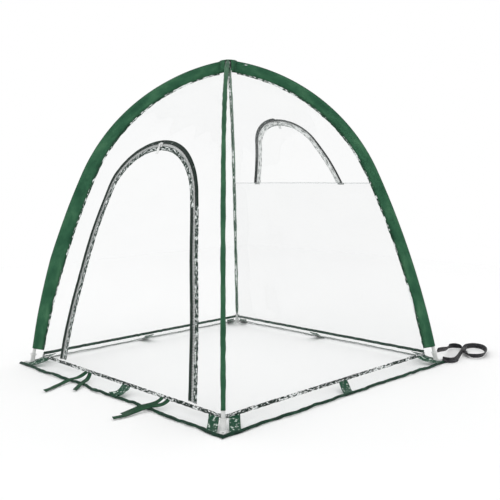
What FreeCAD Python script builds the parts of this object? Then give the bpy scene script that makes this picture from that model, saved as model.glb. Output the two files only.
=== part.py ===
import FreeCAD, Part
import math
import os

from FreeCAD import Placement, Rotation, Vector

# A small dome greenhouse: four curved poles meet at a hub, each in a fabric sleeve, with clear film
# walls between them. +Z is up, the door faces -Y, and the origin is on the ground under the hub.
# Lengths are in millimetres and angles in degrees.

SIZES = {
    # The sleeve's centre line, in the vertical plane through a corner and the hub
    "foot_side": 700.0,
    "apex_height": 724.0,
    "side_radius": 2205.0,
    "crown_radius": 451.0,
    "crown_slope": 8.5,
    # Pole, its end fittings and its sleeve
    "rod_offset": 7.5,
    "rod_radius": 4.0,
    "rod_clearance": 0.15,
    "rod_foot_gap": 5.0,
    "ferrule_radius": 5.0,
    "ferrule_start": 12.0,
    "ferrule_end": 34.0,
    "eye_radius": 4.8,
    "eye_width": 6.0,
    "tang_depth": 7.6,
    "ferrule_wall": 1.5,
    "rod_in_ferrule": 2.0,
    "rod_play": 0.5,
    "sleeve_half_depth": 13.5,
    "sleeve_thickness": 12.0,
    "sleeve_low": 38.0,
    "sleeve_start": 26.0,
    "tip_radius": 5.5,
    "tip_length": 26.0,
    "tip_flange_radius": 7.5,
    "tip_flange_height": 2.0,
    "lug_reach": 14.0,
    "lug_radius": 6.0,
    "lug_low": 3.0,
    "lug_height": 3.0,
    "peg_hole_radius": 3.0,
    # Hub
    "hub_radius": 18.0,
    "hub_low": 720.0,
    "hub_height": 14.5,
    "slot_width": 6.8,
    "slot_start": 6.0,
    "pin_reach": 12.0,
    "pin_radius": 1.5,
    "pin_length": 20.0,
    "pin_clearance": 0.05,
    "cap_radius": 30.0,
    "cap_thickness": 1.4,
    "cap_top": 738.5,
    "cap_drop": 3.6,
    # Film walls, skirt and tapes
    "film_offset": -13.9,
    "film_depth": 1.0,
    "tape_depth": 1.5,
    "wall_low": 18.0,
    "apex_gap": 12.0,
    "base_tape_top": 25.0,
    "base_tape_half": 322.0,
    "skirt_thickness": 0.8,
    "skirt_fall": 9.5,
    "skirt_shift": 0.9,
    "patch_lap": 0.7,
    "patch_drop": 2.0,
    "skirt_half": 371.0,
    "hem_width": 8.0,
    "hem_thickness": 2.0,
    "foot_hole_radius": 9.5,
    "peg_gap_radius": 4.5,
    "patch_thickness": 1.2,
    "loop_width": 26.0,
    "corner_patch_width": 20.0,
    "corner_patch_gap": 14.0,
    # Zipped door and window, each drawn in a plane that touches the wall at its top
    "door_top": 532.0,
    "door_tilt": 25.0,
    "door_top_radius": 163.0,
    "door_lean": 19.0,
    "door_half_base": 247.0,
    "door_base": 29.0,
    "window_top": 598.0,
    "window_tilt": 31.0,
    "window_top_radius": 111.0,
    "window_lean": 25.0,
    "window_half_base": 148.0,
    "window_base": 441.0,
    "door_tape_low": 29.0,
    "window_tape_low": 416.0,
    "zip_gap": 2.0,
    "zip_width": 10.0,
    "flap_gap": 1.0,
    # Zip slider and its pull
    "slider_width": 9.0,
    "slider_length": 11.0,
    "slider_plate": 1.6,
    "slider_clear": 2.4,
    "slider_inner_clear": 1.9,
    "slider_post_radius": 0.6,
    "slider_lug": 1.2,
    "slider_bail": 3.6,
    "slider_nose": 0.6,
    "lug_gap": 0.4,
    "pull_eye_wall": 1.1,
    "pull_blade_length": 15.8,
    "bail_radius": 0.8,
    "bail_clearance": 0.06,
    "pull_width": 3.6,
    "pull_length": 24.0,
    "pull_thickness": 1.4,
    # Fabric ties on the door side and the storage strap, as round cords of the tape's section
    "tie_diameter": 3.6,
    "strap_diameter": 4.6,
}

CORNERS = {"front_right": -45.0, "back_right": 45.0, "back_left": 135.0, "front_left": 225.0}
SIDES = {"front": 0.0, "right": 90.0, "back": 180.0, "left": 270.0}
LOOP_SHIFT = {"front": 30.0, "right": 0.0, "back": 25.0, "left": 0.0}

TIE_ROUTES = {
    "door_tie_left_long": [
        (-127, -341, 15.2), (-128, -351, 7.5), (-129, -362, 5.5), (-131, -376, 6.5), (-132, -390, 4.5),
        (-133, -405, 2.2), (-130, -424, 2), (-123, -441, 2), (-112, -458, 2),
    ],
    "door_tie_left_short": [
        (-118, -341, 15.2), (-114, -350, 8), (-107, -360, 5.5), (-97, -372, 6), (-88, -384, 5),
        (-80, -396, 2.2), (-69, -408, 2),
    ],
    "door_tie_right_short": [
        (152, -341, 15.2), (150, -350, 7.5), (146, -361, 5.5), (141, -374, 6.5), (137, -387, 4.5),
        (135, -401, 2.2), (136, -415, 2), (134, -428, 2),
    ],
    "door_tie_right_long": [
        (167, -341, 15.2), (165, -350, 7.5), (160, -361, 5.5), (153, -373, 6.5), (147, -387, 4.5),
        (144, -403, 2.2), (144, -421, 2), (147, -438, 2), (146, -454, 2),
    ],
}
STRAP_ROUTE = [
    (352, 365, 27), (349, 387, 25), (344, 409, 21), (337, 435, 16), (325, 467, 12), (313, 492, 9),
    (316, 509, 8), (332, 513, 7), (347, 498, 5), (364, 473, 4), (387, 450, 6), (403, 448, 7),
    (414, 461, 7), (413, 482, 7), (403, 508, 7), (388, 534, 7.5), (371, 547, 8), (355, 544, 9),
    (349, 528, 10), (353, 501, 12), (365, 456, 10), (383, 411, 7.5), (391, 386, 7), (388, 369, 7),
    (379, 361, 8.5), (371, 358, 9.5),
]

doc = FreeCAD.newDocument("greenhouse")
sheet = doc.addObject("Spreadsheet::Sheet", "dims")
for row, (alias, value) in enumerate(SIZES.items(), start=1):
    sheet.set(f"A{row}", alias)
    sheet.set(f"B{row}", str(value))
    sheet.setAlias(f"B{row}", alias)
doc.recompute()


def size(name):
    return float(sheet.get(name))


class RibCurve:
    """The sleeve's centre line in its corner's plane: a side arc that runs into a tighter crown arc."""

    def __init__(self):
        foot = size("foot_side") / math.sqrt(2)
        slope = math.radians(size("crown_slope"))
        self.side_r = size("side_radius")
        self.crown_r = size("crown_radius")
        self.crown_x = -self.crown_r * math.sin(slope)
        self.crown_z = size("apex_height") - self.crown_r * math.cos(slope)
        # The side arc's centre is side_r from the foot, and the radii's difference from the crown's
        gap = math.hypot(self.crown_x - foot, self.crown_z)
        ux = (self.crown_x - foot) / gap
        uz = self.crown_z / gap
        along = (self.side_r**2 - (self.side_r - self.crown_r) ** 2 + gap**2) / (2 * gap)
        across = math.sqrt(self.side_r**2 - along**2)
        self.side_x = foot + along * ux - across * uz
        self.side_z = along * uz + across * ux
        self.join = math.atan2(self.crown_z - self.side_z, self.crown_x - self.side_x)

    def low_angle(self, height, offset):
        return math.asin((height - self.side_z) / (self.side_r + offset))

    def top_angle(self, reach, offset):
        return math.acos((reach - self.crown_x) / (self.crown_r + offset))

    def reach(self, height, offset):
        """How far the offset curve is from the hub's axis at a height."""
        angle = self.low_angle(height, offset)
        if angle < self.join:
            return self.side_x + (self.side_r + offset) * math.cos(angle)
        return self.crown_x + math.sqrt((self.crown_r + offset) ** 2 - (height - self.crown_z) ** 2)

    def height(self, reach, offset):
        """The offset crown arc's height at a distance from the hub's axis."""
        return self.crown_z + (self.crown_r + offset) * math.sin(self.top_angle(reach, offset))

    def arcs(self, offset, low, reach=None, high=None):
        """The offset curve's arcs, each (centre x, centre z, radius, first angle, last angle), from
        the height low up to a distance from the axis, or up to the height high on the side arc."""
        radius = self.side_r + offset
        first = self.low_angle(low, offset)
        if high is not None:
            return [(self.side_x, self.side_z, radius, first, self.low_angle(high, offset))]
        return [
            (self.side_x, self.side_z, radius, first, self.join),
            (self.crown_x, self.crown_z, self.crown_r + offset, self.join, self.top_angle(reach, offset)),
        ]


CURVE = RibCurve()
ROD = size("rod_offset")
UP = Vector(0, 0, 1)
FLAT = 1 / math.sqrt(2)
REACH_ALL = 420.0
ABOVE_ALL = 800.0
TOOL_EXTRA = 2.0


def turned(angle):
    return Placement(Vector(0, 0, 0), Rotation(UP, angle))


def bind(item, **cells):
    """Binds properties of an object to expressions of the sheet's cells."""
    for prop, expression in cells.items():
        item.setExpression(prop, expression)
    return item


def cylinder(name, radius, height, place=None):
    item = bind(doc.addObject("Part::Cylinder", name), Radius=radius, Height=height)
    item.Placement = place or Placement()
    return item


def box(name, length, width, height, place=None):
    item = bind(doc.addObject("Part::Box", name), Length=length, Width=width, Height=height)
    item.Placement = place or Placement()
    return item


def joined(name, items):
    item = doc.addObject("Part::MultiFuse", name)
    item.Shapes = items
    return item


def cut(name, base, tool):
    item = doc.addObject("Part::Cut", name)
    item.Base = base
    item.Tool = tool
    return item


def part(item, node, place=None):
    """Marks an object as a finished sub-part, which is written to its own file."""
    item.Label = node
    if place:
        item.Placement = place
    PARTS.append(item)
    return item


PARTS = []


# ---- Poles, fittings and sleeves ----
def torus_arc(name, arc, tube):
    """A round bar along an arc in the XZ plane."""
    centre_x, centre_z, radius, first, last = arc
    item = doc.addObject("Part::Torus", name)
    item.Radius1 = radius
    item.setExpression("Radius2", tube)
    item.Angle1 = -180
    item.Angle2 = 180
    item.Angle3 = math.degrees(last - first)
    start = Vector(math.cos(first), 0, math.sin(first))
    onward = Vector(-math.sin(first), 0, math.cos(first))
    turn = Rotation(start, onward, Vector(0, -1, 0), "ZXY")
    item.Placement = Placement(Vector(centre_x, 0, centre_z), turn)
    return item


def pin_point():
    return Vector(size("pin_reach"), 0, CURVE.height(size("pin_reach"), ROD))


def ferrule_slope():
    """How steeply the pole falls away from its pin, in degrees."""
    far = size("pin_reach") + size("ferrule_end")
    drop = pin_point().z - CURVE.height(far, ROD)
    return math.degrees(math.atan2(drop, size("ferrule_end")))


def ferrule_place(ahead=0.0, axis=UP):
    """A place ahead of the pin along the pole, with a cylinder's axis turned to the given one."""
    frame = Placement(pin_point(), Rotation(Vector(0, 1, 0), ferrule_slope()))
    return frame * Placement(Vector(ahead, 0, 0), Rotation(UP, axis))


def rod(corner, angle):
    start = size("rod_foot_gap")
    end = size("pin_reach") + size("ferrule_start") + size("rod_in_ferrule")
    arcs = CURVE.arcs(ROD, start, reach=end)
    bars = [torus_arc(f"rod_{corner}_{i}", arc, "dims.rod_radius") for i, arc in enumerate(arcs)]
    part(joined(f"rod_{corner}", bars), f"rib_{corner}", turned(angle))


def sleeve(corner, angle):
    half = size("sleeve_half_depth")
    body = doc.addObject("PartDesign::Body", f"band_{corner}")
    plane = [f for f in body.Origin.OriginFeatures if f.Role == "XZ_Plane"][0]
    sketch = body.newObject("Sketcher::SketchObject", f"band_outline_{corner}")
    sketch.AttachmentSupport = [(plane, "")]
    sketch.MapMode = "FlatFace"
    corners = []
    for offset in (half, -half):
        arcs = CURVE.arcs(offset, size("sleeve_low"), reach=size("sleeve_start"))
        for centre_x, centre_z, radius, first, last in arcs:
            circle = Part.Circle(Vector(centre_x, centre_z, 0), UP, radius)
            sketch.addGeometry(Part.ArcOfCircle(circle, first, last), False)
        corners.append((CURVE.reach(size("sleeve_low"), offset), size("sleeve_low")))
        corners.append((size("sleeve_start"), CURVE.height(size("sleeve_start"), offset)))
    for a, b in ((0, 2), (1, 3)):
        sketch.addGeometry(Part.LineSegment(Vector(*corners[a], 0), Vector(*corners[b], 0)), False)
    pad = body.newObject("PartDesign::Pad", f"band_pad_{corner}")
    pad.Profile = sketch
    pad.SideType = "Symmetric"
    pad.setExpression("Length", "dims.sleeve_thickness")
    groove = CURVE.arcs(ROD, 0, reach=size("pin_reach"))
    tools = [
        torus_arc(f"groove_{corner}_{i}", arc, "dims.rod_radius + dims.rod_clearance")
        for i, arc in enumerate(groove)
    ]
    room = cylinder(
        f"ferrule_room_{corner}",
        "dims.ferrule_radius + dims.rod_clearance",
        "dims.ferrule_end - dims.ferrule_start + 3",
        ferrule_place(size("ferrule_start") - TOOL_EXTRA, Vector(1, 0, 0)),
    )
    tools.append(room)
    band = cut(f"sleeve_{corner}_cut", body, joined(f"groove_{corner}", tools))
    part(band, f"sleeve_{corner}", turned(angle))


def ferrule(corner, angle):
    across = Vector(0, 1, 0)
    half = size("eye_width") / 2
    frame = ferrule_place()
    eye = cylinder(
        f"eye_{corner}",
        "dims.eye_radius",
        "dims.eye_width",
        frame * Placement(Vector(0, -half, 0), Rotation(UP, across)),
    )
    tang = box(
        f"tang_{corner}",
        "dims.ferrule_start + 1",
        "dims.eye_width",
        "dims.tang_depth",
        frame * Placement(Vector(0, -half, -size("tang_depth") / 2), Rotation()),
    )
    barrel = cylinder(
        f"barrel_{corner}",
        "dims.ferrule_radius",
        "dims.ferrule_end - dims.ferrule_start",
        ferrule_place(size("ferrule_start"), Vector(1, 0, 0)),
    )
    pin_hole = cylinder(
        f"eye_hole_{corner}",
        "dims.pin_radius + dims.pin_clearance",
        "dims.eye_width * 2",
        frame * Placement(Vector(0, -2 * half, 0), Rotation(UP, across)),
    )
    bore = cylinder(
        f"bore_{corner}",
        "dims.rod_radius + dims.rod_clearance",
        "dims.ferrule_end - dims.ferrule_start",
        ferrule_place(size("ferrule_start") + size("ferrule_wall"), Vector(1, 0, 0)),
    )
    solid = joined(f"ferrule_{corner}_solid", [eye, tang, barrel])
    holes = joined(f"ferrule_{corner}_holes", [pin_hole, bore])
    part(cut(f"ferrule_{corner}_cut", solid, holes), f"rib_ferrule_{corner}", turned(angle))


def foot_tip(corner, angle):
    """The pole's white end cap, with a flange and a flat lug for a ground peg."""
    foot = CURVE.reach(0, ROD)
    lean = math.degrees(CURVE.low_angle(0, ROD))
    frame = Placement(Vector(foot, 0, 0), Rotation(Vector(0, 1, 0), -lean))

    def up_the_pole(height):
        return frame * Placement(Vector(0, 0, height), Rotation())

    barrel = cylinder(f"tip_{corner}", "dims.tip_radius", "dims.tip_length + 2", up_the_pole(-TOOL_EXTRA))
    flange = cylinder(
        f"tip_flange_{corner}",
        "dims.tip_flange_radius",
        "dims.tip_flange_height",
        up_the_pole(size("tip_length") - size("tip_flange_height")),
    )
    lug_at = Vector(foot, -size("lug_radius"), size("lug_low"))
    lug = box(
        f"lug_{corner}",
        "dims.lug_reach",
        "dims.lug_radius * 2",
        "dims.lug_height",
        Placement(lug_at, Rotation()),
    )
    end_at = Vector(foot + size("lug_reach"), 0, size("lug_low"))
    end_place = Placement(end_at, Rotation())
    lug_end = cylinder(f"lug_end_{corner}", "dims.lug_radius", "dims.lug_height", end_place)
    solid = joined(f"tip_{corner}_solid", [barrel, flange, lug, lug_end])
    bore = cylinder(
        f"tip_bore_{corner}",
        "dims.rod_radius + dims.rod_clearance",
        "dims.tip_length",
        up_the_pole(size("rod_foot_gap") - size("rod_play")),
    )
    peg_hole = cylinder(
        f"peg_hole_{corner}",
        "dims.peg_hole_radius",
        "dims.lug_height * 3",
        Placement(end_at - Vector(0, 0, size("lug_height")), Rotation()),
    )
    under = box(
        f"ground_{corner}",
        "dims.foot_side",
        "dims.foot_side",
        "dims.tip_length",
        Placement(Vector(0, -size("foot_side") / 2, -size("tip_length")), Rotation()),
    )
    tools = joined(f"tip_{corner}_tools", [bore, peg_hole, under])
    part(cut(f"tip_{corner}_cut", solid, tools), f"foot_tip_{corner}", turned(angle))


for corner, angle in CORNERS.items():
    rod(corner, angle)
    ferrule(corner, angle)
    foot_tip(corner, angle)
    sleeve(corner, angle)


# ---- Hub ----
def top_hub():
    low = size("hub_low")
    place = Placement(Vector(0, 0, low), Rotation())
    disc = cylinder("hub_disc", "dims.hub_radius", "dims.hub_height", place)
    slot_corner = Vector(size("slot_start"), -size("slot_width") / 2, low - TOOL_EXTRA)
    tools = []
    for corner, angle in CORNERS.items():
        place = turned(angle) * Placement(slot_corner, Rotation())
        name = f"slot_{corner}"
        tools.append(box(name, "dims.hub_radius", "dims.slot_width", "dims.hub_height + 4", place))
        tools.append(pin_cylinder(f"pin_hole_{corner}", angle))
    part(cut("hub_cut", disc, joined("hub_tools", tools)), "top_hub")


def pin_cylinder(name, angle):
    start = pin_point() - Vector(0, size("pin_length") / 2, 0)
    place = turned(angle) * Placement(start, Rotation(UP, Vector(0, 1, 0)))
    return cylinder(name, "dims.pin_radius", "dims.pin_length", place)


def hub_pins():
    group = doc.addObject("Part::Compound", "hub_pin_group")
    group.Links = [pin_cylinder(f"pin_{corner}", angle) for corner, angle in CORNERS.items()]
    part(group, "hub_pins")


def apex_cap():
    """A round fabric cap over the hub, which falls away with the sleeves."""
    body = doc.addObject("PartDesign::Body", "cap_body")
    plane = [f for f in body.Origin.OriginFeatures if f.Role == "XZ_Plane"][0]
    sketch = body.newObject("Sketcher::SketchObject", "cap_profile")
    sketch.AttachmentSupport = [(plane, "")]
    sketch.MapMode = "FlatFace"
    top = size("cap_top")
    rim = size("cap_radius")
    thick = size("cap_thickness")
    drop = size("cap_drop")
    outline = [(0, top - thick), (rim, top - thick - drop), (rim, top - drop), (0, top)]
    for i, point in enumerate(outline):
        after = outline[(i + 1) % len(outline)]
        sketch.addGeometry(Part.LineSegment(Vector(*point, 0), Vector(*after, 0)), False)
    turn = body.newObject("PartDesign::Revolution", "cap_turn")
    turn.Profile = sketch
    turn.ReferenceAxis = (sketch, ["V_Axis"])
    turn.Angle = 360
    part(body, "apex_cap")


top_hub()
hub_pins()
apex_cap()


# ---- Film walls ----
def flat_arc(arc):
    """A rib plane's arc as it shows on the wall, where it is narrower by the square root of two."""
    centre_x, centre_z, radius, first, last = arc
    centre = Vector(0, -FLAT * centre_x, centre_z)
    top = centre + Vector(0, 0, radius)
    side = centre + Vector(0, -FLAT * radius, 0)
    ellipse = Part.Ellipse(top, side, centre)
    quarter = math.pi / 2
    return Part.ArcOfEllipse(ellipse, quarter - last, quarter - first).toShape()


def wedge():
    """The quarter of the ground plan that one wall stands on, over the whole height."""
    corners = [Vector(0, 0, 0), Vector(REACH_ALL, -REACH_ALL, 0), Vector(-REACH_ALL, -REACH_ALL, 0)]
    face = Part.Face(Part.makePolygon(corners + corners[:1]))
    face.translate(Vector(0, 0, -1))
    return face.extrude(Vector(0, 0, ABOVE_ALL))


WEDGE = wedge()


def swept_across(edges_or_points, half=REACH_ALL):
    """A profile in the YZ plane, drawn as edges or as a list of (y, z), run along X and mitred."""
    if isinstance(edges_or_points[0], tuple):
        points = [Vector(0, y, z) for y, z in edges_or_points]
        wire = Part.makePolygon(points + points[:1])
    else:
        wire = Part.Wire(Part.__sortEdges__(edges_or_points))
    face = Part.Face(wire)
    face.translate(Vector(-half, 0, 0))
    return face.extrude(Vector(2 * half, 0, 0)).common(WEDGE)


def shell(outer, inner, low, high=None, half=REACH_ALL):
    """A layer of the front wall between two offsets of the rib curve."""
    edges, ends = [], []
    reach = None if high else size("apex_gap")
    for offset in (outer, inner):
        edges += [flat_arc(arc) for arc in CURVE.arcs(offset, low, reach=reach, high=high)]
        ends.append(Vector(0, -FLAT * CURVE.reach(low, offset), low))
        if high:
            ends.append(Vector(0, -FLAT * CURVE.reach(high, offset), high))
        else:
            ends.append(Vector(0, -FLAT * reach, CURVE.height(reach, offset)))
    edges += [Part.makeLine(ends[0], ends[2]), Part.makeLine(ends[1], ends[3])]
    return swept_across(edges, half)


FILM_OUT = size("film_offset")
FILM_IN = FILM_OUT - size("film_depth")
TAPE_OUT = FILM_OUT + size("tape_depth")


DEPTH_BEHIND = 180.0
DEPTH = 240.0


class Opening:
    """The outline of a zipped opening: a straight foot, two curved sides and a round top."""

    def __init__(self, kind):
        tilt = math.radians(size(f"{kind}_tilt"))
        self.along = Vector(0, math.sin(tilt), math.cos(tilt))
        self.normal = Vector(0, -math.cos(tilt), math.sin(tilt))
        top = size(f"{kind}_top")
        base = size(f"{kind}_base")
        self.top = Vector(0, -FLAT * CURVE.reach(top, FILM_OUT), top)
        self.base = Vector(0, -FLAT * CURVE.reach(base, FILM_OUT), base)
        self.foot = (self.base - self.top).dot(self.along)
        self.radius = size(f"{kind}_top_radius")
        self.lean = math.radians(size(f"{kind}_lean"))
        side_top = (self.radius * math.cos(self.lean), self.radius * (math.sin(self.lean) - 1))
        wide = size(f"{kind}_half_base") - side_top[0]
        tall = side_top[1] - self.foot
        turn = self.lean - math.atan2(wide, tall)
        self.side_radius = math.hypot(wide, tall) / (2 * math.sin(turn))
        self.side_centre = (
            side_top[0] - self.side_radius * math.cos(self.lean),
            side_top[1] - self.side_radius * math.sin(self.lean),
        )

    def at(self, x, along):
        return self.top + Vector(x, 0, 0) + self.along * along

    def outline(self, spread, lift=0.0):
        """The closed outline, moved outward by spread, with its foot raised by lift."""
        radius = self.side_radius + spread
        low = math.asin((self.foot + lift - self.side_centre[1]) / radius)
        sides = []
        for sign in (1, -1):
            points = []
            for angle in (low, (low + self.lean) / 2, self.lean):
                x = self.side_centre[0] + radius * math.cos(angle)
                points.append(self.at(sign * x, self.side_centre[1] + radius * math.sin(angle)))
            sides.append(points)
        crest = self.at(0, spread)
        edges = [Part.Arc(*points).toShape() for points in sides]
        edges.append(Part.Arc(sides[0][2], crest, sides[1][2]).toShape())
        edges.append(Part.makeLine(sides[0][0], sides[1][0]))
        return Part.Wire(Part.__sortEdges__(edges))

    def prism(self, spread, lift=0.0):
        face = Part.Face(self.outline(spread, lift))
        face.translate(self.normal * -DEPTH_BEHIND)
        return face.extrude(self.normal * DEPTH)


OPENINGS = {"door": Opening("door"), "window": Opening("window")}
OPENING_SIDE = {"door": "front", "window": "back"}


def solid_part(node, shape, angle):
    item = doc.addObject("Part::Feature", node)
    item.Shape = shape
    part(item, node, turned(angle))


def walls():
    film = shell(FILM_OUT, FILM_IN, size("wall_low"))
    for side, angle in SIDES.items():
        shape = film
        for kind, opening in OPENINGS.items():
            if OPENING_SIDE[kind] == side:
                shape = film.cut(opening.prism(size("zip_gap") / 2))
        solid_part(f"wall_{side}", shape, angle)
    tape_top = size("base_tape_top")
    tape = shell(TAPE_OUT, FILM_OUT, size("wall_low"), high=tape_top, half=size("base_tape_half"))
    for side, angle in SIDES.items():
        solid_part(f"base_seam_tape_{side}", tape, angle)


def band(layer, outer, inner):
    """The part of a layer between two outlines, cut in halves because a whole loop cuts badly."""
    halves = []
    for low_x in (-ABOVE_ALL, 0):
        half_space = Part.makeBox(ABOVE_ALL, ABOVE_ALL, ABOVE_ALL, Vector(low_x, -ABOVE_ALL, 0))
        halves.append(layer.common(half_space).common(outer).cut(inner))
    return halves[0].fuse(halves[1])


def zipped(kind):
    """The flap and the two halves of the zip around it."""
    opening = OPENINGS[kind]
    angle = SIDES[OPENING_SIDE[kind]]
    gap = size("zip_gap") / 2
    wide = size("zip_width")
    open_foot = -10 * wide
    film = shell(FILM_OUT, FILM_IN, size("wall_low"))
    tape = shell(TAPE_OUT, FILM_OUT, size(f"{kind}_tape_low"))
    flap_outline = opening.prism(-gap, size("flap_gap"))
    flap_tape = band(tape, flap_outline, opening.prism(-gap - wide, open_foot))
    frame_tape = band(tape, opening.prism(gap + wide), opening.prism(gap, open_foot))
    solid_part(f"{kind}_flap", film.common(flap_outline), angle)
    solid_part(f"{kind}_zip_flap_tape", flap_tape, angle)
    solid_part(f"{kind}_zip_frame_tape", frame_tape, angle)


walls()
zipped("door")
zipped("window")


# ---- Skirt on the ground ----
WALL_LOW = size("wall_low")
WALL_FOOT = FLAT * CURVE.reach(WALL_LOW, FILM_OUT)
SKIRT_HALF = size("skirt_half")
SKIRT_TOP = WALL_FOOT + size("skirt_shift")


def skirt_profile():
    thick = size("skirt_thickness")
    fall = size("skirt_fall")
    outer = [(-WALL_FOOT, WALL_LOW), (-SKIRT_TOP, WALL_LOW)]
    outer += [(-SKIRT_TOP - fall, thick), (-SKIRT_HALF, thick)]
    inner = [(-SKIRT_HALF, 0), (-WALL_FOOT - fall, 0)]
    return outer + inner


def patch_profile():
    """A patch that lies on the skirt, over its slope and its flat part."""
    thick = size("skirt_thickness")
    fall = size("skirt_fall")
    patch = size("patch_thickness")
    drop = size("patch_drop")
    start = SKIRT_TOP + drop * fall / (WALL_LOW - thick)
    foot = SKIRT_TOP + fall
    outer = [(-start, WALL_LOW - drop), (-start - patch, WALL_LOW - drop)]
    outer += [(-foot - size("patch_lap"), thick + patch), (-SKIRT_HALF, thick + patch)]
    return outer + [(-SKIRT_HALF, thick), (-foot, thick)]


def foot_holes():
    """Cutters that clear the two pole feet of the front wall and their peg eyes."""
    foot = FLAT * CURVE.reach(0, ROD)
    eye = foot + FLAT * size("lug_reach")
    holes = []
    for sign in (1, -1):
        for at, radius in ((foot, size("foot_hole_radius")), (eye, size("peg_gap_radius"))):
            holes.append(Part.makeCylinder(radius, 3 * WALL_LOW, Vector(sign * at, -at, -WALL_LOW)))
    return holes


def patch_between(low_x, width):
    slab = Part.makeBox(width, REACH_ALL, 2 * WALL_LOW, Vector(low_x, -REACH_ALL, -WALL_LOW))
    return swept_across(patch_profile()).common(slab)


def skirts():
    edge = SKIRT_HALF + size("hem_width")
    hem = size("hem_thickness")
    hem_profile = [(-SKIRT_HALF, 0), (-edge, 0), (-edge, hem), (-SKIRT_HALF, hem)]
    skirt = swept_across(skirt_profile())
    for hole in foot_holes():
        skirt = skirt.cut(hole)
    width = size("loop_width")
    for side, angle in SIDES.items():
        solid_part(f"skirt_{side}", skirt, angle)
        solid_part(f"hem_tape_{side}", swept_across(hem_profile), angle)
        solid_part(f"stake_patch_{side}", patch_between(LOOP_SHIFT[side] - width / 2, width), angle)


def corner_patches():
    """A patch on each side of every corner, one beyond each end of the front wall's skirt."""
    width = size("corner_patch_width")
    start = FLAT * CURVE.reach(0, ROD) - size("corner_patch_gap")
    for corner, angle in CORNERS.items():
        left_end = patch_between(start - width, width)
        right_end = patch_between(-start, width)
        right_end.rotate(Vector(0, 0, 0), UP, 90)
        solid_part(f"corner_patch_{corner}", Part.makeCompound([left_end, right_end]), angle + 45)


skirts()
corner_patches()


# ---- Zip sliders ----
def slider_frame(kind):
    """The slider's place at the top of the zip: X along the zip, Y up the wall, Z out of the wall."""
    opening = OPENINGS[kind]
    turn = Rotation(Vector(1, 0, 0), opening.along, opening.normal, "ZXY")
    return turned(SIDES[OPENING_SIDE[kind]]) * Placement(opening.top, turn)


def bail_height():
    lug_top = size("slider_clear") + size("slider_plate") + size("slider_bail")
    return lug_top - size("bail_radius") - size("lug_gap")


def at(x, y, z, turn=None):
    return Placement(Vector(x, y, z), turn or Rotation())


ALONG_X = Rotation(UP, Vector(1, 0, 0))


def zip_slider(kind):
    wide = size("slider_width")
    long = size("slider_length")
    plate = size("slider_plate")
    clear = size("slider_clear")
    inner = -size("slider_inner_clear") - plate
    bail_from = size("pull_width") / 2 + size("lug_gap")
    top = box(
        f"{kind}_plate",
        "dims.slider_width",
        "dims.slider_length",
        "dims.slider_plate",
        at(-wide / 2, -long / 2, clear),
    )
    under = box(
        f"{kind}_inner_plate",
        "dims.slider_width",
        "dims.slider_length / 2 + dims.slider_nose",
        "dims.slider_plate",
        at(-wide / 2, -long / 2, inner),
    )
    post_height = "dims.slider_inner_clear + dims.slider_clear + dims.slider_plate"
    post = cylinder(f"{kind}_post", "dims.slider_post_radius", post_height, at(0, 0, inner + plate / 2))
    bail_place = at(-(wide - 1) / 2, 0, bail_height(), ALONG_X)
    bail = cylinder(f"{kind}_bail", "dims.bail_radius", "dims.slider_width - 1", bail_place)
    pieces = [top, under, post, bail]
    for side, low_x in (("right", bail_from), ("left", -bail_from - size("slider_lug"))):
        place = at(low_x, -long / 6, clear + plate)
        name = f"{kind}_{side}_lug"
        pieces.append(box(name, "dims.slider_lug", "dims.slider_length / 3", "dims.slider_bail", place))
    part(joined(f"{kind}_slider_solid", pieces), f"{kind}_zip_slider", slider_frame(kind))


def zip_pull(kind):
    wide = size("pull_width")
    long = size("pull_length")
    high = bail_height()
    low = high - size("pull_thickness") / 2
    eye_place = at(-wide / 2, 0, high, ALONG_X)
    eye_radius = "dims.bail_radius + dims.pull_eye_wall"
    eye = cylinder(f"{kind}_pull_eye", eye_radius, "dims.pull_width", eye_place)
    tab_place = at(-wide / 2, -long, low)
    tab = box(f"{kind}_pull_tab", "dims.pull_width", "dims.pull_length", "dims.pull_thickness", tab_place)
    blade = box(
        f"{kind}_pull_blade",
        "dims.pull_width * 2",
        "dims.pull_blade_length",
        "dims.pull_thickness",
        at(-wide, -long, low),
    )
    hole = cylinder(
        f"{kind}_pull_hole",
        "dims.bail_radius + dims.bail_clearance",
        "dims.pull_width + 4",
        at(-wide / 2 - TOOL_EXTRA, 0, high, ALONG_X),
    )
    solid = joined(f"{kind}_pull_solid", [eye, tab, blade])
    part(cut(f"{kind}_pull_cut", solid, hole), f"{kind}_zip_pull", slider_frame(kind))


for kind in OPENINGS:
    zip_slider(kind)
    zip_pull(kind)


# ---- Ties and strap ----
RUN_SHARE = 0.45


def cord_path(route):
    """Straight runs joined by tangent arcs, as large as the two runs of each turn allow."""
    points = [Vector(*p) for p in route]
    edges = []
    start = points[0]
    for before, point, after in zip(points, points[1:], points[2:]):
        into = before - point
        out = after - point
        trim = RUN_SHARE * min(into.Length, out.Length)
        into.normalize()
        out.normalize()
        first = point + into * trim
        last = point + out * trim
        half_turn = (math.pi - into.getAngle(out)) / 2
        radius = trim / math.tan(half_turn)
        middle_way = (into + out).normalize()
        centre = point + middle_way * (radius / math.cos(half_turn))
        edges.append(Part.LineSegment(start, first).toShape())
        edges.append(Part.Arc(first, centre - middle_way * radius, last).toShape())
        start = last
    edges.append(Part.LineSegment(start, points[-1]).toShape())
    return Part.Wire(edges)


def cord(node, route, diameter):
    path = cord_path(route)
    ahead = Vector(*route[1]) - Vector(*route[0])
    ring = Part.Wire(Part.makeCircle(diameter / 2, Vector(*route[0]), ahead))
    tube = path.makePipeShell([ring], True, True)
    if abs(tube.Volume / (math.pi * (diameter / 2) ** 2 * path.Length) - 1) > 0.01:
        raise RuntimeError(f"{node} isn't a round cord all along")
    print(f"{node}: {path.Length:.1f} mm long")
    solid_part(node, tube, 0)


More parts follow.
